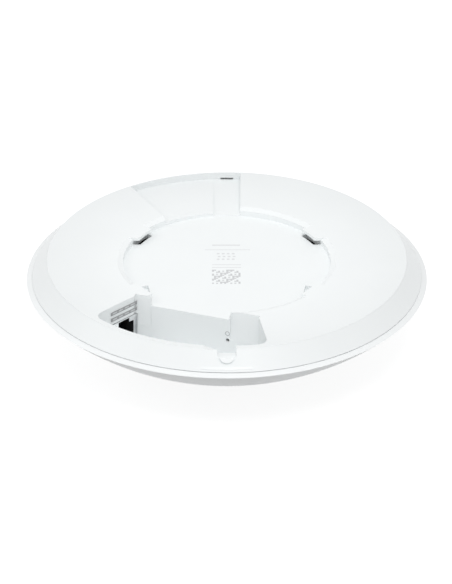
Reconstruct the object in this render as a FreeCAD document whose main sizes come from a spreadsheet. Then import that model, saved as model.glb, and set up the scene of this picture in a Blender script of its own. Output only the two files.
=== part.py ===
import FreeCAD, Part
import Sketcher
import math
import os
import re

doc = FreeCAD.newDocument("ceiling_access_point")

# Frame: origin at the centre of the flat back (the ceiling side), +Z towards the
# ceiling, +Y towards the lock channel. All lengths in millimetres, angles in degrees.
VALUES = {
    # outer form: flat back, conical band, seam, domed front
    "rim_rad": 88.0, "rim_z": -9.9, "back_rad": 79.0,
    "seam_rad": 85.6, "cover_edge_z": -8.35, "shell_edge_z": -8.65,
    "dome_rad": 129.27, "dome_centre": 84.79, "dome_base": -44.48, "shell_wall": 2.0,
    "skin": 2.5, "skin_rad": 78.17, "band_rad": 82.79,
    "lip_rad": 82.9, "tongue_rad": 79.0, "tongue_wall": 1.6, "tongue_top": -8.6,
    "gasket_rad": 83.65, "gasket_wide": 1.2, "gasket_base": -9.15,
    # bracket recess and its four bayonet teeth
    "recess_rad": 45.7, "recess_floor": -3.55, "recess_wall_top": -0.95,
    "recess_mouth": 48.1, "recess_back": -6.0, "recess_pad": 49.4,
    "tooth_rad": 43.1, "tooth_root": 48.8, "tooth_thick": 1.45, "tooth_end": 19.4,
    "pocket_rad": 42.8, "pocket_root": 46.2, "pocket_end": 19.7, "rest_rad": 44.7,
    "floor_pocket": -5.2,
    # lock channel, its slot and the sector recess beside it
    "lock_wide": 12.0, "lock_floor": -3.2, "lock_end": 78.3, "lock_back": -5.5,
    "slot_wide": 5.8, "slot_top": -2.45, "slot_deep": 1.7,
    "sector_floor": -3.05, "sector_near": 42.7, "sector_near_floor": -2.1,
    # cable bay outline: corner, end wall and the round near edge
    "bay_rad": 76.7, "corner_x": -40.04, "corner_y": -32.4,
    "end_x": 14.2, "end_y": -52.22, "mouth_x": 18.0, "tip_x": -58.06,
    "bay_floor": -23.0, "bay_wall": 2.0, "bay_ball": 125.13, "bay_skin": 1.5,
    "draft_wide": 1.7, "draft_deep": 14.0,
    # cable way and knock-out in the near edge
    "notch_half": 4.1, "notch_floor": -3.5, "groove_rad": 4.25, "groove_wide": 0.85,
    "groove_deep": 0.9,
    # board, heat spreader and the screws through both
    "board_top": -18.0, "board_thick": 1.6, "board_rad": 70.0,
    "plate_top": -12.4, "plate_thick": 2.0, "plate_rad": 60.0,
    "post_rad": 3.5, "pilot_rad": 1.31, "screw_rad": 1.25, "screw_tip": -7.6,
    "head_rad": 2.5, "head_tall": 1.6, "drive_rad": 0.9, "drive_deep": 0.9,
    # shield cans, chips and pads
    "can_tall": 3.0, "can_wall": 0.3, "chip_tall": 1.4, "pad_thick": 0.6,
    # network socket
    "jack_wide": 15.6, "jack_deep": 14.0, "jack_top": -9.2, "jack_base": -21.4,
    "jack_metal": 0.3, "jack_fit": 0.3, "plug_wide": 11.9, "plug_base": -19.6,
    "plug_top": -11.6, "plug_deep": 11.5, "latch_wide": 6.6, "latch_top": -9.6,
    "latch_deep": 8.0, "contact_pitch": 1.02, "contact_wide": 0.45,
    # reset switch behind the pinhole
    "pinhole_rad": 0.9, "press_z": -14.04, "switch_gap": 3.4, "switch_deep": 3.6,
    "switch_wide": 6.6, "switch_tall": 4.9, "button_gap": 2.5, "button_long": 2.8,
    "button_wide": 2.4, "button_tall": 1.4, "button_fit": 0.05, "cover_metal": 0.2,
    # antennas, light
    "ant_long": 24.0, "ant_wide": 9.0, "ant_tall": 5.0, "ant_metal": 0.4,
    "light_rad": 2.5, "light_head": 3.6, "light_top": -21.2,
}
POST_SPOTS = [(48.0, 34.0), (-48.0, 34.0), (44.0, -40.0), (-22.0, -23.0)]
TOOTH_TURNS = {1: 19.5, -1: 140.5}
POCKET_TURNS = {1: 19.9, -1: 140.1}
REST_TURNS = {1: 317.0, -1: 208.0}
FLOOR_POCKET = [(41.0, -19.7), (34.5, -16.85), (33.1, -27.0), (37.0, -27.0), (42.0, -24.0)]
FLOOR_SLOT = [(34.1, -20.8), (36.3, -21.4), (36.3, -26.6), (33.8, -26.6)]
SECTOR = [(-5.9, -6.0), (-5.9, 42.5), (-52.95, 42.3), (-22.0, -15.0)]
BAND_TILT = 51.7
NOTCH_CENTRE = FreeCAD.Vector(0.0, -80.98, -2.51)
LATCH_TURNS = [5.0, 50.0, 78.0, 115.0, 160.0, 205.0, 300.0, 335.0]
ANTENNA_SPOTS = [("antenna_a", 52.0, 10.0), ("antenna_b", 54.0, 75.0),
                 ("antenna_c", 54.0, 117.0), ("antenna_d", 54.0, 165.0)]
WALL_TURN = math.degrees(math.atan2(0.9392, 0.3433))


def make_sheet():
    sheet = doc.addObject("Spreadsheet::Sheet", "dims")
    for row, (name, number) in enumerate(VALUES.items(), start=1):
        sheet.set(f"A{row}", name)
        sheet.set(f"B{row}", str(number))
        sheet.setAlias(f"B{row}", name)
    doc.recompute()


def cell_words(text):
    return re.sub(r"[a-z_][a-z0-9_]*",
                  lambda word: "dims." + word[0] if word[0] in VALUES else word[0], text)


def bind(thing, path, text):
    thing.setExpression(path, cell_words(text))


def place(thing, low):
    for axis, text in zip("xyz", low):
        bind(thing, "Placement.Base." + axis, text)


def box(name, size, low):
    thing = doc.addObject("Part::Box", name)
    for side, text in zip(("Length", "Width", "Height"), size):
        bind(thing, side, text)
    place(thing, low)
    return thing


def slab(name, wide, deep, low_z, tall, x="0", y="0"):
    """Box centred on x, y that starts at low_z."""
    low = (f"{x} - ({wide}) / 2", f"{y} - ({deep}) / 2", low_z)
    return box(name, (wide, deep, tall), low)


def post(name, radius, low_z, tall, x="0", y="0", sweep=360.0, turn=0.0):
    thing = doc.addObject("Part::Cylinder", name)
    bind(thing, "Radius", radius)
    bind(thing, "Height", tall)
    thing.Angle = sweep
    thing.Placement = FreeCAD.Placement(
        FreeCAD.Vector(), FreeCAD.Rotation(FreeCAD.Vector(0, 0, 1), turn))
    place(thing, (x, y, low_z))
    return thing


def ball(name, radius):
    thing = doc.addObject("Part::Sphere", name)
    bind(thing, "Radius", radius)
    place(thing, ("0", "0", "dome_centre"))
    return thing


def fuse(name, parts):
    thing = doc.addObject("Part::MultiFuse", name)
    thing.Shapes = parts
    return thing


def common(name, parts):
    thing = doc.addObject("Part::MultiCommon", name)
    thing.Shapes = parts
    return thing


def cut(name, base, tools):
    thing = doc.addObject("Part::Cut", name)
    thing.Base = base
    thing.Tool = tools[0] if len(tools) == 1 else fuse(name + "_tools", tools)
    return thing


def group(name, parts):
    thing = doc.addObject("Part::Compound", name)
    thing.Links = parts
    return thing


def arc_bar(name, inner, outer, low_z, tall, turn, sweep):
    """Piece of a ring from angle turn, sweep degrees long."""
    big = post(name + "_out", outer, low_z, tall, sweep=sweep, turn=turn)
    small = post(name + "_in", inner, low_z + " - 1", tall + " + 2")
    return cut(name, big, [small])


def body_sketch(body, role, points):
    sketch = body.newObject("Sketcher::SketchObject", body.Name + "_sketch")
    plane = [item for item in body.Origin.OriginFeatures if item.Role == role][0]
    sketch.AttachmentSupport = [(plane, "")]
    sketch.MapMode = "FlatFace"
    draw_lines(sketch, points)
    return sketch


def draw_lines(sketch, points):
    """Closed outline whose corners are held by bound distances from the origin."""
    count = len(points)
    turns = [2 * math.pi * step / count for step in range(count)]
    spots = [FreeCAD.Vector(math.cos(turn), math.sin(turn), 0) for turn in turns]
    for step in range(count):
        sketch.addGeometry(Part.LineSegment(spots[step], spots[(step + 1) % count]), False)
    for step in range(count):
        sketch.addConstraint(
            Sketcher.Constraint("Coincident", step, 2, (step + 1) % count, 1))
    for step, corner in enumerate(points):
        hold_point(sketch, step, 1, corner, spots[step])


def hold_point(sketch, line, end, corner, spot):
    for kind, text, now in zip(("DistanceX", "DistanceY"), corner, (spot.x, spot.y)):
        index = sketch.addConstraint(Sketcher.Constraint(kind, -1, 1, line, end, now))
        bind(sketch, f"Constraints[{index}]", text)


def turned_ring(name, points):
    """Solid of revolution about Z from radius, height corners."""
    body = doc.addObject("PartDesign::Body", name)
    sketch = body_sketch(body, "XZ_Plane", points)
    turn = body.newObject("PartDesign::Revolution", name + "_turn")
    turn.Profile = sketch
    turn.ReferenceAxis = (sketch, ["V_Axis"])
    turn.Angle = 360
    return body


def side_pad(name, points, thick):
    """Outline in X, Z given a thickness centred on Y."""
    body = doc.addObject("PartDesign::Body", name)
    sketch = body_sketch(body, "XZ_Plane", points)
    pad = body.newObject("PartDesign::Pad", name + "_pad")
    pad.Profile = sketch
    pad.Midplane = True
    bind(pad, "Length", thick)
    return body


def flat_pad(name, points, low_z, tall):
    """Outline in X, Y given a height."""
    body = doc.addObject("PartDesign::Body", name)
    sketch = body_sketch(body, "XY_Plane", points)
    pad = body.newObject("PartDesign::Pad", name + "_pad")
    pad.Profile = sketch
    bind(pad, "Length", tall)
    place(body, ("0", "0", low_z))
    return body


def bay_sketch():
    """Plan outline of the cable bay: corner, end wall, near arc, socket wall."""
    sketch = doc.addObject("Sketcher::SketchObject", "bay_outline")
    corner = FreeCAD.Vector(VALUES["corner_x"], VALUES["corner_y"], 0)
    end = FreeCAD.Vector(VALUES["end_x"], VALUES["end_y"], 0)
    radius = VALUES["bay_rad"]
    mouth = arc_point(radius, VALUES["mouth_x"])
    tip = arc_point(radius, VALUES["tip_x"])
    circle = Part.Circle(FreeCAD.Vector(), FreeCAD.Vector(0, 0, 1), radius)
    start, stop = (math.atan2(spot.y, spot.x) for spot in (tip, mouth))
    sketch.addGeometry(Part.LineSegment(corner, end), False)
    sketch.addGeometry(Part.LineSegment(end, mouth), False)
    sketch.addGeometry(Part.ArcOfCircle(circle, start, stop), False)
    sketch.addGeometry(Part.LineSegment(tip, corner), False)
    for first, end_a, second, end_b in ((0, 2, 1, 1), (1, 2, 2, 2), (2, 1, 3, 1), (3, 2, 0, 1)):
        sketch.addConstraint(Sketcher.Constraint("Coincident", first, end_a, second, end_b))
    sketch.addConstraint(Sketcher.Constraint("Coincident", 2, 3, -1, 1))
    size = sketch.addConstraint(Sketcher.Constraint("Radius", 2, radius))
    bind(sketch, f"Constraints[{size}]", "bay_rad")
    hold_point(sketch, 0, 1, ("corner_x", "corner_y"), corner)
    hold_point(sketch, 1, 1, ("end_x", "end_y"), end)
    for line, point, text, spot in ((1, 2, "mouth_x", mouth), (3, 1, "tip_x", tip)):
        side = sketch.addConstraint(Sketcher.Constraint("DistanceX", -1, 1, line, point, spot.x))
        bind(sketch, f"Constraints[{side}]", text)
    return sketch


def arc_point(radius, x):
    return FreeCAD.Vector(x, -math.sqrt(radius ** 2 - x ** 2), 0)


def bay_block(name, sketch, grow, low_z, high_z):
    """The bay outline grown outwards and given a height range."""
    source = sketch
    if grow:
        source = doc.addObject("Part::Offset2D", name + "_grown")
        source.Source = sketch
        bind(source, "Value", grow)
    block = doc.addObject("Part::Extrusion", name)
    block.Base = source
    block.DirMode = "Custom"
    block.Dir = FreeCAD.Vector(0, 0, 1)
    block.Solid = True
    bind(block, "LengthFwd", high_z)
    bind(block, "LengthRev", f"-({low_z})")
    return block


def round_corners(name, block, corners):
    """Fillet the upright edges nearest to the given plan points."""
    doc.recompute()
    thing = doc.addObject("Part::Fillet", name)
    thing.Base = block
    picked = []
    for x, y, radius in corners:
        spot = FreeCAD.Vector(x, y, 0)
        ranked = [(plan_distance(edge, spot), index)
                  for index, edge in enumerate(block.Shape.Edges, start=1) if is_upright(edge)]
        picked.append((min(ranked)[1], radius, radius))
    thing.Edges = picked
    return thing


def is_upright(edge):
    ends = edge.Vertexes
    return len(ends) == 2 and math.hypot(ends[0].X - ends[1].X, ends[0].Y - ends[1].Y) < 1e-6


def plan_distance(edge, spot):
    corner = edge.Vertexes[0]
    return math.hypot(corner.X - spot.x, corner.Y - spot.y)


def jack_spot():
    """Socket frame: origin on the socket face, +X out into the bay."""
    return FreeCAD.Placement(
        FreeCAD.Vector(-45.0, -37.36, 0), FreeCAD.Rotation(FreeCAD.Vector(0, 0, 1), -45.0))


def reset_spot():
    """Switch frame: origin where the pinhole opens into the bay, +X inwards."""
    return FreeCAD.Placement(
        FreeCAD.Vector(0.3, -47.14, 0), FreeCAD.Rotation(FreeCAD.Vector(0, 0, 1), WALL_TURN))


def moved(name, thing, spot):
    holder = group(name, [thing])
    holder.Placement = spot
    return holder


def screw_posts(name, radius, low_z, tall):
    return [post(f"{name}_{index}", radius, low_z, tall, x=str(x), y=str(y))
            for index, (x, y) in enumerate(POST_SPOTS)]


def cover_solid(sketch):
    base = turned_ring("cover_base", [
        ("0", "0"), ("back_rad", "0"), ("seam_rad", "cover_edge_z"),
        ("band_rad", "cover_edge_z"), ("skin_rad", "-skin"), ("0", "-skin")])
    recess_pad = post("recess_thick", "recess_pad", "recess_back", "-recess_back - 1")
    lock_pad = slab("lock_thick", "lock_wide + 4", "32", "lock_back", "-lock_back - 1", y="62.5")
    sector_pad = post("sector_thick", "skin_rad + 0.6", "sector_floor - 2.25", "-sector_floor + 1.25",
                      sweep=36.0, turn=92.0)
    tub = common("tub_outer", [
        bay_block("tub_prism", sketch, "bay_wall", "bay_floor - bay_skin", "-0.5"),
        ball("tub_ball", "bay_ball + bay_skin")])
    notch_ring = turned_ring("notch_ring", [
        ("bay_rad + 0.3", "-1.5"), ("back_rad + 0.5", "-2"), ("seam_rad - 0.6", "cover_edge_z + 1"),
        ("seam_rad - 0.6", "cover_edge_z"), ("band_rad - 1.5", "cover_edge_z"),
        ("bay_rad + 0.3", "-4.8")])
    notch_pad = common("notch_thick", [
        notch_ring, slab("notch_zone", "2 * notch_half + 14", "14", "-9", "9", y="-81")])
    posts = screw_posts("cover_post", "post_rad", "plate_top", "-plate_top - 1")
    return fuse("cover_solid", [base, recess_pad, lock_pad, sector_pad, tub, notch_pad]
                + posts + latch_hooks())


def latch_hooks():
    """Hooks on the band that snap into windows of the front shell's tongue."""
    hooks = []
    for index, turn in enumerate(LATCH_TURNS):
        arm = arc_bar(f"hook_arm_{index}", "tongue_rad + tongue_wall + 0.3", "tongue_rad + 3",
                      "-11.2", "6.6", turn, 6.0)
        bead = arc_bar(f"hook_bead_{index}", "tongue_rad + 0.7", "tongue_rad + 2.2",
                       "-10.7", "0.9", turn, 6.0)
        hooks += [arm, bead]
    return hooks


def recess_tool():
    return turned_ring("recess_tool", [
        ("0", "recess_floor"), ("recess_rad", "recess_floor"), ("recess_rad", "recess_wall_top"),
        ("recess_mouth", "0"), ("recess_mouth + 1.2", "1"), ("0", "1")])


def lock_tools():
    channel = common("lock_channel", [
        slab("lock_bar", "lock_wide", "36", "lock_floor", "-lock_floor + 1", y="62"),
        post("lock_limit", "lock_end", "-6", "8")])
    slot = slab("lock_slot", "slot_wide", "slot_deep", "lock_back - 1", "slot_top - lock_back + 1",
                y="lock_end + slot_deep / 2 - 0.05")
    return [channel, slot, sector_tool()]


def sector_tool():
    """Shallow recess beside the channel, its floor falling away from the bracket."""
    run = VALUES["lock_end"] - VALUES["sector_near"]
    fall = VALUES["sector_near_floor"] - VALUES["sector_floor"]
    tilt = FreeCAD.Placement(
        FreeCAD.Vector(0, VALUES["sector_near"], VALUES["sector_near_floor"]),
        FreeCAD.Rotation(FreeCAD.Vector(1, 0, 0), -math.degrees(math.atan2(fall, run))))
    flat = flat_pad("sector_flat", [(str(x), str(y)) for x, y in SECTOR], "0", "9")
    return common("sector_tool", [moved("sector_tilted", flat, tilt),
                                  post("sector_limit", "lock_end", "-6", "8")])


def beyond(name, bar, side_y):
    """The part of an arc bar that lies past a line across the back."""
    half = slab(name + "_half", "120", "60", "-10", "20", y=side_y + " + 30")
    return common(name, [bar, half])


def tooth_tools():
    """Moulding holes under the two far teeth, pockets with a slot by the two near rests."""
    holes = []
    for index, side in enumerate((1, -1)):
        bar = arc_bar(f"pocket_bar_{index}", "pocket_rad", "pocket_root", "-7",
                      "7 - tooth_thick", POCKET_TURNS[side], 20.0)
        holes.append(beyond(f"tooth_pocket_{index}", bar, "pocket_end"))
        for name, outline, low_z in (("pocket", FLOOR_POCKET, "floor_pocket"),
                                     ("slot", FLOOR_SLOT, "-8")):
            corners = [(str(side * x), str(y)) for x, y in outline]
            holes.append(flat_pad(f"floor_{name}_{index}", corners, low_z, f"-2 - ({low_z})"))
    return holes


def teeth():
    """Far teeth with a straight end across the back, and the near rests."""
    parts = []
    for index, side in enumerate((1, -1)):
        bar = arc_bar(f"tooth_bar_{index}", "tooth_rad", "tooth_root", "-tooth_thick",
                      "tooth_thick", TOOTH_TURNS[side], 20.0)
        parts.append(beyond(f"tooth_{index}", bar, "tooth_end"))
        parts.append(arc_bar(f"rest_{index}", "rest_rad", "tooth_root", "-tooth_thick",
                             "tooth_thick", REST_TURNS[side], 15.0))
    return parts


def far_wall_tools():
    """Step where the bracket recess breaks into the bay, and the drafted wall beside it."""
    step = side_pad("recess_step", [
        ("-7", "recess_floor"), ("1", "recess_floor"), ("2.1", "0"), ("2.4", "1"), ("-7", "1")],
        "7")
    step.Placement = FreeCAD.Placement(FreeCAD.Vector(0, -46.5, 0), FreeCAD.Rotation())
    corner = slab("recess_corner", "13", "9", "recess_floor", "-recess_floor + 1",
                  x="-26.5", y="-36")
    return [step, corner, draft_wedge("right", "13.4", -7.9), draft_wedge("left", "8", 39.4)]


def draft_wedge(name, length, along):
    """Taper at the top of the far wall, where it rises past the recess floor."""
    wedge = side_pad("draft_" + name, [
        ("-1", "-draft_deep"), ("0", "-draft_deep"), ("draft_wide", "0"),
        ("draft_wide * 1.2", "0.2 * draft_deep"), ("-1", "0.2 * draft_deep")], length)
    wedge.Placement = FreeCAD.Placement(FreeCAD.Vector(0, along, 0), FreeCAD.Rotation())
    return moved("draft_tool_" + name, wedge, reset_spot())


def bay_tool(sketch):
    prism = bay_block("bay_prism", sketch, "", "bay_floor", "2")
    tip = arc_point(VALUES["bay_rad"], VALUES["tip_x"])
    mouth = arc_point(VALUES["bay_rad"], VALUES["mouth_x"])
    rounded = round_corners("bay_rounded", prism, [
        (VALUES["end_x"], VALUES["end_y"], 2.2), (tip.x, tip.y, 4.8),
        (mouth.x, mouth.y, 4.2), (VALUES["corner_x"], VALUES["corner_y"], 2.0)])
    return common("bay_tool", [rounded, ball("bay_ball_tool", "bay_ball")])


def notch_tool():
    """Cable way through the bay's wall, sloped on its left, and the thin groove that
    marks out the knock-out piece on the band."""
    way = slab("notch_way", "2 * notch_half", "8", "notch_floor", "1 - notch_floor",
               y="-(bay_rad + 2.5)")
    shoulder = side_pad("way_shoulder", [
        ("-notch_half + 0.5", "-3.1"), ("-notch_half - 2", "-1.6"), ("-10", "-0.2"),
        ("-10", "1"), ("-notch_half + 0.5", "1")], "5")
    shoulder.Placement = FreeCAD.Placement(
        FreeCAD.Vector(0, -VALUES["bay_rad"], 0), FreeCAD.Rotation())
    ring = cut("groove_ring", post("groove_out", "groove_rad", "-groove_deep", "2"),
               [post("groove_in", "groove_rad - groove_wide", "-3", "6"),
                slab("groove_upper", "12", "6", "-3", "6", y="3")])
    sides = [slab(f"groove_side_{index}", "groove_wide", "3.4", "-groove_deep", "2",
                  x=f"{side} * (groove_rad - groove_wide / 2)", y="1.65")
             for index, side in enumerate((1, -1))]
    tilt = FreeCAD.Placement(NOTCH_CENTRE, FreeCAD.Rotation(FreeCAD.Vector(1, 0, 0), BAND_TILT))
    groove = moved("notch_groove", fuse("groove_plan", [ring] + sides), tilt)
    return fuse("notch_tool", [way, shoulder, groove])


def pinhole_tool():
    hole = doc.addObject("Part::Cylinder", "pinhole")
    bind(hole, "Radius", "pinhole_rad")
    hole.Height = 6.0
    hole.Placement = FreeCAD.Placement(
        FreeCAD.Vector(-2, 0, 0), FreeCAD.Rotation(FreeCAD.Vector(0, 1, 0), 90))
    bind(hole, "Placement.Base.z", "press_z")
    return moved("pinhole_tool", hole, reset_spot())


def window_tool():
    window = slab("window", "5", "jack_wide + 2 * jack_fit", "jack_base - jack_fit",
                  "jack_top - jack_base + 2 * jack_fit", x="-1.5")
    return moved("window_tool", window, jack_spot())


def back_cover(sketch):
    tools = [recess_tool(), notch_tool(), pinhole_tool(), window_tool()]
    tools += lock_tools() + tooth_tools()
    tools += screw_posts("cover_pilot", "pilot_rad", "plate_top - 1", "7")
    opened = cut("cover_opened", cover_solid(sketch), tools)
    return cut("back_cover", fuse("cover_toothed", [opened] + teeth()),
               [bay_tool(sketch)] + far_wall_tools())


def front_shell():
    outline = turned_ring("shell_outline", [
        ("0", "shell_edge_z"), ("seam_rad + 0.15", "shell_edge_z"), ("rim_rad", "rim_z"),
        ("rim_rad", "-48"), ("0", "-48")])
    solid = common("shell_solid", [outline, ball("shell_ball", "dome_rad")])
    hollow = common("shell_hollow", [
        ball("hollow_ball", "dome_rad - shell_wall"), post("hollow_post", "lip_rad", "-47", "47")])
    groove = turned_ring("gasket_groove", [
        ("gasket_rad", "gasket_base"), ("gasket_rad + gasket_wide", "gasket_base"),
        ("gasket_rad + gasket_wide", "-8"), ("gasket_rad", "-8")])
    bore = post("light_bore", "light_rad + 0.05", "dome_base - 2.5", "8")
    seat = post("light_seat", "light_head + 0.05", "dome_base - 1.5", "2.3")
    skin = cut("shell_skin", solid, [hollow, groove, bore, seat])
    return fuse("front_shell", [skin, tongue(), light_collar()])


def tongue():
    ring = turned_ring("tongue_ring", [
        ("tongue_rad", "tongue_top"), ("tongue_rad + tongue_wall", "tongue_top"),
        ("tongue_rad + tongue_wall", "-20"), ("tongue_rad", "-20")])
    inside = common("tongue_inside", [ring, ball("tongue_ball", "dome_rad - 1")])
    windows = [arc_bar(f"tongue_window_{index}", "tongue_rad - 1", "tongue_rad + 3",
                       "-10.9", "1.3", turn - 0.6, 7.2)
               for index, turn in enumerate(LATCH_TURNS)]
    return cut("tongue", inside, windows)


def light_collar():
    outer = post("collar_outer", "light_rad + 1.8", "dome_base + 1.5", "8")
    bore = post("collar_bore", "light_rad + 0.05", "dome_base - 1", "20")
    return cut("light_collar", outer, [bore])


def seam_gasket():
    return turned_ring("seam_gasket", [
        ("gasket_rad + 0.05", "gasket_base"), ("gasket_rad + gasket_wide - 0.05", "gasket_base"),
        ("gasket_rad + gasket_wide - 0.05", "cover_edge_z"), ("gasket_rad + 0.05", "cover_edge_z")])


def jack_clearance(name, extra, low_z, tall):
    bar = slab(name + "_bar", f"jack_deep + {extra} + 6", f"jack_wide + 2 * {extra}", low_z, tall,
               x=f"3 - (jack_deep + {extra}) / 2")
    side = slab(name + "_side", f"jack_deep + {extra} + 6", "14", low_z, tall,
                x=f"3 - (jack_deep + {extra}) / 2", y="-jack_wide / 2 - 7")
    return moved(name, fuse(name + "_plan", [bar, side]), jack_spot())


def heat_spreader(sketch):
    disc = post("plate_disc", "plate_rad", "plate_top - plate_thick", "plate_thick")
    legs = screw_posts("plate_leg", "post_rad - 0.3", "board_top", "plate_top - board_top")
    ribs = [slab(f"plate_rib_{index}", "1.6", "64", "plate_top - 0.2", "3.2",
                 x=str(-10.0 + 9.0 * index), y="12") for index in range(5)]
    tools = [bay_block("plate_bay", sketch, "bay_wall + 1", "-30", "1"),
             jack_clearance("plate_jack", "1", "-30", "40"),
             moved("plate_switch", slab("plate_gap", "12", "9", "-30", "40", x="5"), reset_spot())]
    tools += screw_posts("plate_hole", "screw_rad + 0.1", "-30", "30")
    return cut("heat_spreader", fuse("plate_solid", [disc] + legs + ribs), tools)


def main_board(sketch):
    disc = post("board_disc", "board_rad", "board_top - board_thick", "board_thick")
    tools = [bay_block("board_bay", sketch, "bay_wall + 0.6", "-30", "1"),
             jack_clearance("board_jack", "0.1", "-30", "40")]
    tools += screw_posts("board_hole", "screw_rad + 0.1", "-30", "30")
    return cut("main_board", disc, tools)


def board_screws():
    under = "board_top - board_thick"
    shafts = screw_posts("screw_shaft", "screw_rad", under + " - 0.5", f"screw_tip - ({under}) + 0.5")
    heads = screw_posts("screw_head", "head_rad", under + " - head_tall", "head_tall")
    drives = screw_posts("screw_drive", "drive_rad", under + " - head_tall - 1", "drive_deep + 1")
    screws = [cut(f"screw_{index}", fuse(f"screw_solid_{index}", [shaft, head]), [drive])
              for index, (shaft, head, drive) in enumerate(zip(shafts, heads, drives))]
    return group("board_screws", screws)


def shield_can(name, wide, deep, x, y):
    outer = slab(name + "_out", wide, deep, "board_top", "can_tall", x=x, y=y)
    inner = slab(name + "_in", f"{wide} - 2 * can_wall", f"{deep} - 2 * can_wall",
                 "board_top - 1", "can_tall - can_wall + 1", x=x, y=y)
    return cut(name, outer, [inner])


def board_parts():
    """Shield cans, the chips under them and the pads that carry their heat."""
    pad_low = "board_top + chip_tall"
    pad_tall = "can_tall - can_wall - chip_tall"
    can_top = "board_top + can_tall"
    nodes = [
        shield_can("processor_can", "36", "30", "4", "10"),
        shield_can("radio_can_a", "24", "22", "-34", "16"),
        shield_can("radio_can_b", "24", "22", "40", "2"),
        slab("processor", "17", "17", "board_top", "chip_tall", x="-2", y="10"),
        slab("radio_chip_a", "11", "11", "board_top", "chip_tall", x="-34", y="16"),
        slab("radio_chip_b", "11", "11", "board_top", "chip_tall", x="40", y="2"),
        group("memory_chips", [
            slab(f"memory_{index}", "8", "10", "board_top", "1.1", x="14.5", y=y)
            for index, y in enumerate(("3", "17"))]),
        group("chip_pads", [
            slab(f"chip_pad_{index}", side, side, pad_low, pad_tall, x=x, y=y)
            for index, (side, x, y) in enumerate((("15", "-2", "10"), ("10", "-34", "16"),
                                                  ("10", "40", "2")))]),
        group("can_pads", [
            slab(f"can_pad_{index}", wide, "18", can_top, "pad_thick", x=x, y=y)
            for index, (wide, x, y) in enumerate((("26", "4", "10"), ("20", "-34", "16"),
                                                  ("20", "40", "2")))]),
        slab("flash_chip", "8", "6", "board_top", "1.8", x="22", y="-22"),
        slab("power_chip", "7", "7", "board_top", "0.9", x="30", y="-30"),
        slab("lan_transformer", "13", "8", "board_top", "3.3", x="-36", y="-6")]
    return nodes


def underside_parts():
    """Taller parts on the dome side of the board."""
    under = "board_top - board_thick"
    coils = [slab(f"coil_{index}", "7", "7", under + " - 4", "4", x=x, y="-20")
             for index, x in enumerate(("16", "27"))]
    cans = [post(f"can_{index}", "3.15", under + " - 5.8", "5.8", x=x, y=y)
            for index, (x, y) in enumerate((("16", "-30"), ("25", "-30"), ("-6", "-24")))]
    light = slab("status_led", "3.2", "2.8", under + " - 1.2", "1.2")
    return [group("power_inductors", coils), group("bulk_capacitors", cans), light]


def antenna(name, radius, turn):
    """Folded sheet antenna: raised strip, shorting leg, feed leg and a foot."""
    strip = slab(name + "_strip", "ant_long", "ant_wide", "-ant_tall", "ant_metal")
    short = slab(name + "_short", "ant_metal", "4", "-ant_tall", "ant_tall",
                 x="ant_long / 2 - ant_metal / 2")
    feed = slab(name + "_feed", "2", "ant_metal", "-ant_tall", "ant_tall",
                x="ant_long / 2 - 6", y="ant_wide / 2 - ant_metal / 2")
    tail = slab(name + "_tail", "ant_metal", "5", "-ant_tall", "2.4",
                x="-ant_long / 2 + ant_metal / 2")
    thing = fuse(name, [strip, short, feed, tail])
    angle = math.radians(turn)
    under = VALUES["board_top"] - VALUES["board_thick"]
    thing.Placement = FreeCAD.Placement(
        FreeCAD.Vector(radius * math.cos(angle), radius * math.sin(angle), under),
        FreeCAD.Rotation(FreeCAD.Vector(0, 0, 1), turn + 90.0))
    return thing


def light_guide():
    rod = post("guide_rod", "light_rad", "dome_base + 0.2", "light_top - dome_base - 0.2")
    head = common("guide_head", [post("guide_cap", "light_head", "dome_base - 0.5", "1.3"),
                                 ball("guide_ball", "dome_rad - 0.1")])
    return fuse("light_guide", [rod, head])


def socket_opening(name, latch_extra):
    """Plug cavity with the latch slot on the ceiling side."""
    plug = slab(name + "_plug", "plug_deep + 1", "plug_wide", "plug_base", "plug_top - plug_base",
                x="-plug_deep / 2 + 0.5")
    latch = slab(name + "_latch", "latch_deep + 1", "latch_wide", "plug_base",
                 f"latch_top - plug_base + {latch_extra}", x="-latch_deep / 2 + 0.5")
    return fuse(name, [plug, latch])


def jack_shell():
    tall = "jack_top - jack_base"
    outer = slab("jack_outer", "jack_deep", "jack_wide", "jack_base", tall, x="-jack_deep / 2")
    inner = slab("jack_inner", "jack_deep - 2 * jack_metal", "jack_wide - 2 * jack_metal",
                 "jack_base + jack_metal", f"{tall} - 2 * jack_metal", x="-jack_deep / 2")
    shell = cut("jack_shell", outer, [inner, socket_opening("shell_mouth", "0")])
    shell.Placement = jack_spot()
    return shell


def jack_insert():
    block = slab("insert_block", "jack_deep - 2 * jack_metal", "jack_wide - 2 * jack_metal",
                 "jack_base + jack_metal", "jack_top - jack_base - 2 * jack_metal",
                 x="-jack_deep / 2")
    insert = cut("jack_insert", block, [socket_opening("insert_mouth", "0.3")])
    insert.Placement = jack_spot()
    return insert


def jack_contacts():
    """Eight sprung wires rising from the cavity floor towards the back."""
    rows = []
    for index in range(8):
        wire = side_pad(f"contact_wire_{index}", [
            ("-3.2", "plug_base + 0.02"), ("-3.2", "plug_base + 0.42"),
            ("-plug_deep + 0.02", "plug_base + 4.0"),
            ("-plug_deep + 0.02", "plug_base + 3.6")], "contact_wide")
        wire.Placement = FreeCAD.Placement(
            FreeCAD.Vector(0, (index - 3.5) * VALUES["contact_pitch"], 0), FreeCAD.Rotation())
        rows.append(wire)
    contacts = group("jack_contacts", rows)
    contacts.Placement = jack_spot()
    return contacts


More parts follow.
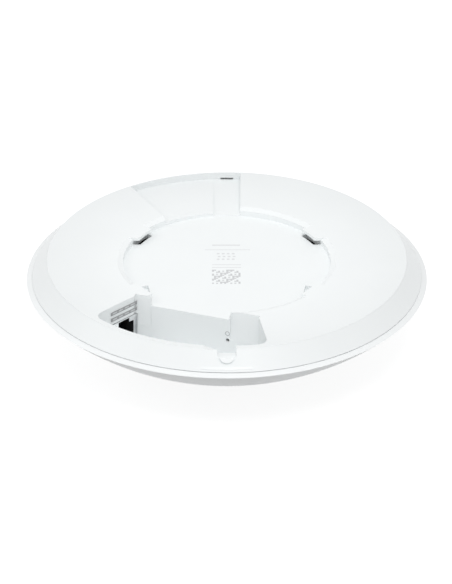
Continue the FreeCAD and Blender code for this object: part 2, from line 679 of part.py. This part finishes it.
def reset_switch():
    base_front = "switch_gap + switch_deep / 2"
    block = slab("switch_block", "switch_deep", "switch_wide", "board_top", "switch_tall",
                 x=base_front)
    hollow = slab("switch_hollow", "2.6 + 1", "button_wide + 2 * button_fit",
                  "press_z - button_tall / 2 - button_fit", "button_tall + 2 * button_fit",
                  x="switch_gap + 2.6 / 2 - 0.5")
    base = cut("reset_switch_base", block, [hollow])
    base.Placement = reset_spot()
    cover = slab("reset_switch_cover", "switch_deep - 0.6", "switch_wide - 0.8",
                 "board_top + switch_tall", "cover_metal", x=base_front)
    cover = fuse("switch_cover", [cover, slab(
        "cover_tab", "1.2", "1.6", "board_top + switch_tall", "cover_metal", x="switch_gap + 0.3")])
    cover.Placement = reset_spot()
    plunger = slab("plunger_bar", "button_long", "button_wide", "press_z - button_tall / 2",
                   "button_tall", x="button_gap + button_long / 2")
    plunger = group("reset_plunger", [plunger])
    plunger.Placement = reset_spot()
    return [("reset_switch_base", base), ("reset_switch_cover", cover),
            ("reset_plunger", plunger)]


def collect():
    sketch = bay_sketch()
    nodes = [back_cover(sketch), front_shell(), seam_gasket(), heat_spreader(sketch),
             main_board(sketch), board_screws(), light_guide()]
    nodes += board_parts() + underside_parts()
    nodes += [jack_shell(), jack_insert(), jack_contacts()]
    nodes += [antenna(name, radius, turn) for name, radius, turn in ANTENNA_SPOTS]
    named = [(thing.Name, thing) for thing in nodes]
    return named + reset_switch()


def write_nodes(named):
    doc.recompute()
    for thing in doc.Objects:
        if "Invalid" in thing.State or "Error" in thing.State:
            raise RuntimeError(f"{thing.Name} failed: {thing.State}")
    os.makedirs("parts", exist_ok=True)
    for name, thing in named:
        if thing.Shape.isNull() or not thing.Shape.isValid():
            raise RuntimeError(f"{name} has a bad shape")
        thing.Label = name
        thing.Shape.exportStep(f"parts/{name}.step")
        print(name, len(thing.Shape.Solids), round(thing.Shape.Volume, 1), thing.Shape.BoundBox)


make_sheet()
write_nodes(collect())
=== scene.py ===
import math

import bmesh
import bpy
from mathutils import Matrix, Vector


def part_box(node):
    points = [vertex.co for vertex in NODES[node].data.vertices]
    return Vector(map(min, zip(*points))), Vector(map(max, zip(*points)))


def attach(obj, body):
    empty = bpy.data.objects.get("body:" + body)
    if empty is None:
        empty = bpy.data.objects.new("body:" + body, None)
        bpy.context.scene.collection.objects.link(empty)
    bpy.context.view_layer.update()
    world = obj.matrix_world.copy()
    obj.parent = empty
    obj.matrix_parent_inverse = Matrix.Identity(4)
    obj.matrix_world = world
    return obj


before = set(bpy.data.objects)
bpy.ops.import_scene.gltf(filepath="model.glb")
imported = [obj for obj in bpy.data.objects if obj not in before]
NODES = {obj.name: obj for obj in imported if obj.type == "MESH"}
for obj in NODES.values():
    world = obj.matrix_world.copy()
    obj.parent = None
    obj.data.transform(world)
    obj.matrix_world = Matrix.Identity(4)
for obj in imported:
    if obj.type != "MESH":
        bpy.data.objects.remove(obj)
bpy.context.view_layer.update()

MM = 0.001
HOUSING = "housing"

# Plan features that the print, the labels and the icon are laid out from (metres).
RECESS_FLOOR = -3.55 * MM
SOCKET_FACE = Vector((-45.0, -37.36, 0.0)) * MM
SOCKET_TURN = math.radians(-45.0)
FAR_WALL_SPOT = Vector((0.3, -47.14, 0.0)) * MM
FAR_WALL_TURN = math.atan2(-0.9392, -0.3433)
PRINT_THICK = 0.03 * MM
LABEL_THICK = 0.12 * MM

FRAME_TALL = 584.0
SENSOR = 36.0
NOISE_LOW, NOISE_HIGH = 0.3, 0.7
PLAIN_WHITE = (1.0, 1.0, 1.0, 1.0)


# ---------------------------------------------------------------- materials

def new_material(name):
    material = bpy.data.materials.new(name)
    material.use_nodes = True
    nodes = material.node_tree.nodes
    return material, nodes, material.node_tree.links, nodes["Principled BSDF"]


def object_coords(nodes, links, stretch=(1.0, 1.0, 1.0)):
    coords = nodes.new("ShaderNodeTexCoord")
    mapping = nodes.new("ShaderNodeMapping")
    mapping.inputs["Scale"].default_value = stretch
    links.new(coords.outputs["Object"], mapping.inputs["Vector"])
    return mapping.outputs["Vector"]


def noise(nodes, links, vector, scale, detail=3.0):
    texture = nodes.new("ShaderNodeTexNoise")
    texture.inputs["Scale"].default_value = scale
    texture.inputs["Detail"].default_value = detail
    links.new(vector, texture.inputs["Vector"])
    return texture.outputs["Fac"]


def spread(nodes, links, value, low, high):
    remap = nodes.new("ShaderNodeMapRange")
    remap.inputs["From Min"].default_value = NOISE_LOW
    remap.inputs["From Max"].default_value = NOISE_HIGH
    remap.inputs["To Min"].default_value = low
    remap.inputs["To Max"].default_value = high
    links.new(value, remap.inputs["Value"])
    return remap.outputs["Result"]


def shade_mix(nodes, links, value, dark, light):
    mix = nodes.new("ShaderNodeMix")
    mix.data_type = "RGBA"
    mix.inputs["A"].default_value = (*dark, 1.0)
    mix.inputs["B"].default_value = (*light, 1.0)
    links.new(spread(nodes, links, value, 0.0, 1.0), mix.inputs["Factor"])
    return mix.outputs["Result"]


def grained(name, color, rough, metal=0.0, grain=1500.0, relief=0.06, depth=0.02,
            cloud=45.0, variation=0.02, stretch=(1.0, 1.0, 1.0), coat=0.0):
    """Moulded or rolled surface: cloudy tone, varied gloss and a fine raised grain (depth in mm)."""
    gloss_swing = 0.05
    material, nodes, links, shader = new_material(name)
    vector = object_coords(nodes, links, stretch)
    dark = tuple(max(channel - variation, 0.0) for channel in color)
    light = tuple(min(channel + variation, 1.0) for channel in color)
    clouds = noise(nodes, links, vector, cloud)
    fine = noise(nodes, links, vector, grain, 2.0)
    links.new(shade_mix(nodes, links, clouds, dark, light), shader.inputs["Base Color"])
    gloss = spread(nodes, links, fine, rough - gloss_swing, rough + gloss_swing)
    links.new(gloss, shader.inputs["Roughness"])
    bump = nodes.new("ShaderNodeBump")
    bump.inputs["Strength"].default_value = relief
    bump.inputs["Distance"].default_value = depth * MM
    links.new(fine, bump.inputs["Height"])
    links.new(bump.outputs["Normal"], shader.inputs["Normal"])
    shader.inputs["Metallic"].default_value = metal
    shader.inputs["Coat Weight"].default_value = coat
    return material


def board_material(name):
    """Solder resist over copper tracks: darker lanes, lighter tracks."""
    material, nodes, links, shader = new_material(name)
    vector = object_coords(nodes, links)
    tracks = nodes.new("ShaderNodeTexBrick")
    tracks.inputs["Scale"].default_value = 240.0
    tracks.inputs["Mortar Size"].default_value = 0.06
    tracks.inputs["Color1"].default_value = (0.02, 0.13, 0.08, 1.0)
    tracks.inputs["Color2"].default_value = (0.03, 0.17, 0.10, 1.0)
    tracks.inputs["Mortar"].default_value = (0.07, 0.28, 0.16, 1.0)
    links.new(vector, tracks.inputs["Vector"])
    links.new(tracks.outputs["Color"], shader.inputs["Base Color"])
    bump = nodes.new("ShaderNodeBump")
    bump.inputs["Strength"].default_value = 0.3
    bump.inputs["Distance"].default_value = 0.03 * MM
    links.new(tracks.outputs["Fac"], bump.inputs["Height"])
    links.new(bump.outputs["Normal"], shader.inputs["Normal"])
    shader.inputs["Roughness"].default_value = 0.35
    return material


def cover_material(name):
    """Moulded white with painted shade: darker from the recess edge out to the plateau's outer edge,
    near full white again on the band.
    """
    full_radius = 90.0 * MM
    recess_edge, flat_edge, band_edge = 0.50, 0.874, 0.885
    material = grained(name, (0.875, 0.90, 0.905), 0.42, variation=0.006)
    nodes, links = material.node_tree.nodes, material.node_tree.links
    shader = nodes["Principled BSDF"]
    flat = nodes.new("ShaderNodeVectorMath")
    flat.operation = "MULTIPLY"
    flat.inputs[1].default_value = (1.0, 1.0, 0.0)
    links.new(nodes.new("ShaderNodeTexCoord").outputs["Object"], flat.inputs[0])
    radius = nodes.new("ShaderNodeVectorMath")
    radius.operation = "LENGTH"
    links.new(flat.outputs["Vector"], radius.inputs[0])
    share = nodes.new("ShaderNodeMath")
    share.operation = "DIVIDE"
    share.inputs[1].default_value = full_radius
    links.new(radius.outputs["Value"], share.inputs[0])
    # painted shade: this ramp darkens the white towards the plateau's outer edge, then lifts it
    # again on the band
    tone = nodes.new("ShaderNodeValToRGB")
    stops = tone.color_ramp.elements
    stops[0].position, stops[1].position = recess_edge, band_edge
    stops.new(flat_edge)
    for stop, grey in zip(stops, (1.0, 0.935, 0.99)):
        stop.color = (grey, grey, grey, 1.0)
    links.new(share.outputs["Value"], tone.inputs["Fac"])
    shade = nodes.new("ShaderNodeVectorMath")
    shade.operation = "MULTIPLY"
    links.new(shader.inputs["Base Color"].links[0].from_socket, shade.inputs[0])
    links.new(tone.outputs["Color"], shade.inputs[1])
    links.new(shade.outputs["Vector"], shader.inputs["Base Color"])
    return material


def coat_node(name, material):
    mesh = NODES[name].data
    mesh.materials.clear()
    mesh.materials.append(material)


def paint_nodes():
    white = cover_material("cover_white")
    shell = grained("shell_white", (0.86, 0.88, 0.885), 0.40, variation=0.006)
    steel = grained("tin_plate", (0.66, 0.67, 0.68), 0.32, metal=1.0, grain=900.0, relief=0.1,
                    cloud=60.0, variation=0.04)
    nickel = grained("socket_nickel", (0.88, 0.885, 0.89), 0.34, metal=1.0, grain=1200.0,
                     relief=0.08, cloud=80.0, variation=0.03, stretch=(1.0, 1.0, 6.0))
    cast = grained("cast_aluminium", (0.62, 0.63, 0.64), 0.5, metal=1.0, grain=500.0, relief=0.35,
                   depth=0.08, cloud=40.0, variation=0.05)
    epoxy = grained("chip_epoxy", (0.035, 0.035, 0.038), 0.55, grain=2500.0, relief=0.25,
                    depth=0.03, cloud=90.0, variation=0.008)
    moulded = grained("black_moulding", (0.02, 0.02, 0.022), 0.45, relief=0.12, depth=0.03,
                      cloud=70.0, variation=0.006)
    silicone = grained("pad_silicone", (0.42, 0.50, 0.60), 0.7, grain=700.0, relief=0.3,
                       depth=0.05, cloud=50.0, variation=0.03)
    looks = {
        "back_cover": white, "front_shell": shell,
        "seam_gasket": grained("gasket_rubber", (0.45, 0.46, 0.47), 0.75, relief=0.2),
        "heat_spreader": cast, "main_board": board_material("board_laminate"),
        "board_screws": grained("screw_zinc", (0.55, 0.56, 0.6), 0.3, metal=1.0, grain=1800.0,
                                relief=0.1),
        "light_guide": grained("guide_acrylic", (0.82, 0.86, 0.9), 0.25, coat=0.4),
        "status_led": grained("led_resin", (0.85, 0.8, 0.55), 0.3, coat=0.3),
        "jack_shell": nickel, "jack_insert": moulded,
        "jack_contacts": grained("contact_gold", (0.85, 0.62, 0.26), 0.25, metal=1.0),
        "power_inductors": moulded,
        "bulk_capacitors": grained("can_aluminium", (0.7, 0.71, 0.72), 0.35, metal=1.0,
                                   grain=1200.0, relief=0.1),
        "reset_switch_base": moulded, "reset_switch_cover": steel,
        "reset_plunger": grained("button_ivory", (0.7, 0.66, 0.56), 0.5),
    }
    looks.update({name: steel for name in ("processor_can", "radio_can_a", "radio_can_b",
                                           "antenna_a", "antenna_b", "antenna_c", "antenna_d")})
    looks.update({name: epoxy for name in ("processor", "radio_chip_a", "radio_chip_b",
                                           "memory_chips", "flash_chip", "power_chip",
                                           "lan_transformer")})
    looks.update({name: silicone for name in ("chip_pads", "can_pads")})
    for name, material in looks.items():
        coat_node(name, material)


# ---------------------------------------------------------------- shapes

def soften(name, width, limit=35.0):
    """Small rounding on the sharp edges of a CAD node."""
    rounding = NODES[name].modifiers.new("edge_round", "BEVEL")
    rounding.width = width * MM
    rounding.segments = 2
    rounding.limit_method = "ANGLE"
    rounding.angle_limit = math.radians(limit)
    rounding.harden_normals = True


def piece_from(name, build, material, spot=Matrix.Identity(4)):
    """A piece of the housing whose mesh the build function fills in."""
    shape = bmesh.new()
    build(shape)
    mesh = bpy.data.meshes.new(name)
    shape.to_mesh(mesh)
    shape.free()
    mesh.materials.append(material)
    piece = bpy.data.objects.new(name, mesh)
    piece.matrix_world = spot
    bpy.context.scene.collection.objects.link(piece)
    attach(piece, HOUSING)


def add_slab(shape, low, high):
    """Thin block between two corners."""
    size = Vector(high) - Vector(low)
    middle = (Vector(high) + Vector(low)) / 2
    block = bmesh.ops.create_cube(shape, size=1.0)
    bmesh.ops.scale(shape, vec=size, verts=block["verts"])
    bmesh.ops.translate(shape, vec=middle, verts=block["verts"])


def ink_material(name, color):
    return grained(name, color, 0.55, grain=2600.0, relief=0.1, depth=0.01, cloud=900.0)


def wall_spot(origin, turn):
    """Frame on a bay wall: X out of the wall, Y along it, Z up."""
    return Matrix.Translation(origin) @ Matrix.Rotation(turn, 4, "Z")


# ---------------------------------------------------------------- print and labels

def recess_print():
    """Plain bars (left, right, y, height) and rows of dashes (left, y), in mm."""
    bars = ((-6.5, 5.8, 19.1, 0.9), (-9.6, 10.2, 14.9, 0.45), (-6.5, 6.2, 1.5, 0.5),
            (-6.5, 6.2, -0.9, 0.5))
    rows = ((-4.4, 11.4), (-4.0, 8.9), (-4.4, 6.5))
    dashes, dash_step, dash_long, dash_tall = 4, 2.2, 1.2, 1.1

    def build(shape):
        for left, right, y, tall in bars:
            add_bar(shape, left, right, y, tall)
        for left, y in rows:
            for step in range(dashes):
                start = left + dash_step * step
                add_bar(shape, start, start + dash_long, y, dash_tall)

    piece_from("recess_print", build, ink_material("print_grey", (0.72, 0.73, 0.74)))


def add_bar(shape, left, right, y, tall):
    add_slab(shape, (left * MM, (y - tall / 2) * MM, RECESS_FLOOR),
             (right * MM, (y + tall / 2) * MM, RECESS_FLOOR + PRINT_THICK))


def check_patch():
    """Square of small cells, dark where a fixed rule says so: a plain texture, not a code."""
    side, count = 12.5, 14
    middle_x, middle_y = -0.25, -9.2
    cell = side / count

    def build(shape):
        for row in range(count):
            for column in range(count):
                if (row * 7 + column * 5 + row * column * 3) % 9 < 4:
                    left = middle_x - side / 2 + column * cell
                    y = middle_y - side / 2 + (row + 0.5) * cell
                    add_bar(shape, left, left + cell, y, cell)

    piece_from("check_patch", build, ink_material("patch_grey", (0.60, 0.61, 0.62)))


def socket_labels():
    """Two strips above the socket, each with pale blank tabs."""
    dark = ink_material("label_grey", (0.36, 0.365, 0.37))
    pale = ink_material("label_tab", (0.62, 0.63, 0.64))
    spot = wall_spot(SOCKET_FACE, SOCKET_TURN)
    strips = ((-4.4, -2.8), (-7.4, -5.8))
    half_long, margin = 8.0, 0.5
    tabs, first_tab, tab_step, tab_long = 4, -6.8, 3.6, 2.4

    def build_strips(shape):
        for low, high in strips:
            add_slab(shape, (0.0, -half_long * MM, low * MM),
                     (LABEL_THICK, half_long * MM, high * MM))

    def build_tabs(shape):
        for low, high in strips:
            for step in range(tabs):
                left = (first_tab + tab_step * step) * MM
                add_slab(shape, (LABEL_THICK, left, (low + margin) * MM),
                         (LABEL_THICK + PRINT_THICK, left + tab_long * MM, (high - margin) * MM))

    piece_from("socket_labels", build_strips, dark, spot)
    piece_from("label_tabs", build_tabs, pale, spot)


def reset_ring():
    """Small plain ring above the pinhole."""
    spot = wall_spot(FAR_WALL_SPOT, FAR_WALL_TURN)
    inner, outer, middle_z = 0.75, 1.15, -10.7
    turns = 32

    def build(shape):
        for step in range(turns):
            start, stop = (2 * math.pi * (step + side) / turns for side in (0, 1))
            corners = [(radius, angle) for radius in (inner, outer) for angle in (start, stop)]
            flat = [shape.verts.new((PRINT_THICK, radius * math.cos(angle) * MM,
                                     (middle_z + radius * math.sin(angle)) * MM))
                    for radius, angle in corners]
            shape.faces.new((flat[0], flat[2], flat[3], flat[1]))

    piece_from("reset_ring", build, ink_material("ring_grey", (0.55, 0.56, 0.57)), spot)


# ---------------------------------------------------------------- studio

def pale_floor():
    """Plain floor with a faint glow of its own, which throws no light back on the case."""
    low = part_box("front_shell")[0].z
    bpy.ops.mesh.primitive_plane_add(size=12.0, location=(0.0, 0.0, low))
    floor = bpy.context.object
    floor.name = "studio_floor"
    paint = grained("floor_white", (0.36, 0.36, 0.36), 0.9, grain=300.0, variation=0.005)
    shader = paint.node_tree.nodes["Principled BSDF"]
    shader.inputs["Emission Color"].default_value = PLAIN_WHITE
    shader.inputs["Emission Strength"].default_value = 0.77
    floor.data.materials.append(paint)
    floor.visible_diffuse = False


def soft_light(name, place, size, power):
    """Round area light aimed at the origin."""
    lamp = bpy.data.lights.new(name, "AREA")
    lamp.shape = "DISK"
    lamp.size = size
    lamp.energy = power
    thing = bpy.data.objects.new(name, lamp)
    thing.location = place
    thing.rotation_euler = (-Vector(place)).to_track_quat("-Z", "Y").to_euler()
    bpy.context.scene.collection.objects.link(thing)


def soft_air(above, below):
    """Even light from all sides, weaker from under the horizon."""
    fade_start, fade_end = -0.15, 0.05
    world = bpy.data.worlds.new("studio_air")
    world.use_nodes = True
    nodes, links = world.node_tree.nodes, world.node_tree.links
    split = nodes.new("ShaderNodeSeparateXYZ")
    links.new(nodes.new("ShaderNodeTexCoord").outputs["Generated"], split.inputs["Vector"])
    height = nodes.new("ShaderNodeMapRange")
    height.inputs["From Min"].default_value = fade_start
    height.inputs["From Max"].default_value = fade_end
    height.inputs["To Min"].default_value = below
    height.inputs["To Max"].default_value = above
    links.new(split.outputs["Z"], height.inputs["Value"])
    links.new(height.outputs["Result"], nodes["Background"].inputs["Strength"])
    nodes["Background"].inputs["Color"].default_value = PLAIN_WHITE
    bpy.context.scene.world = world


def studio():
    pale_floor()
    soft_air(0.735, 0.42)
    soft_light("key_light", (0.15, -1.0, 1.72), 0.9, 13.6)
    soft_light("side_light", (-1.2, -0.2, 1.0), 0.7, 2.2)
    bpy.context.scene.view_settings.view_transform = "Standard"


def camera():
    """Long lens 29.5 degrees above the back's plane, looking along +Y."""
    elevation = math.radians(29.47)
    lens = 1000.0
    pixels_per_metre = 2276.0
    aim_x, aim_drop = -0.35, 14.32
    distance = lens / SENSOR * FRAME_TALL / pixels_per_metre
    up = Vector((0.0, math.sin(elevation), math.cos(elevation)))
    aim = Vector((aim_x * MM, 0.0, 0.0)) - up * aim_drop * MM
    back = Vector((0.0, -math.cos(elevation), math.sin(elevation)))
    view = bpy.data.cameras.new("view")
    view.lens = lens
    view.sensor_width = SENSOR
    view.clip_end = 100.0
    thing = bpy.data.objects.new("view", view)
    thing.location = aim + back * distance
    thing.rotation_euler = (-back).to_track_quat("-Z", "Y").to_euler()
    bpy.context.scene.collection.objects.link(thing)
    bpy.context.scene.camera = thing


# ---------------------------------------------------------------- scene

camera()
paint_nodes()
soften("back_cover", 0.25)
soften("front_shell", 0.2, 50.0)
recess_print()
check_patch()
socket_labels()
reset_ring()
studio()
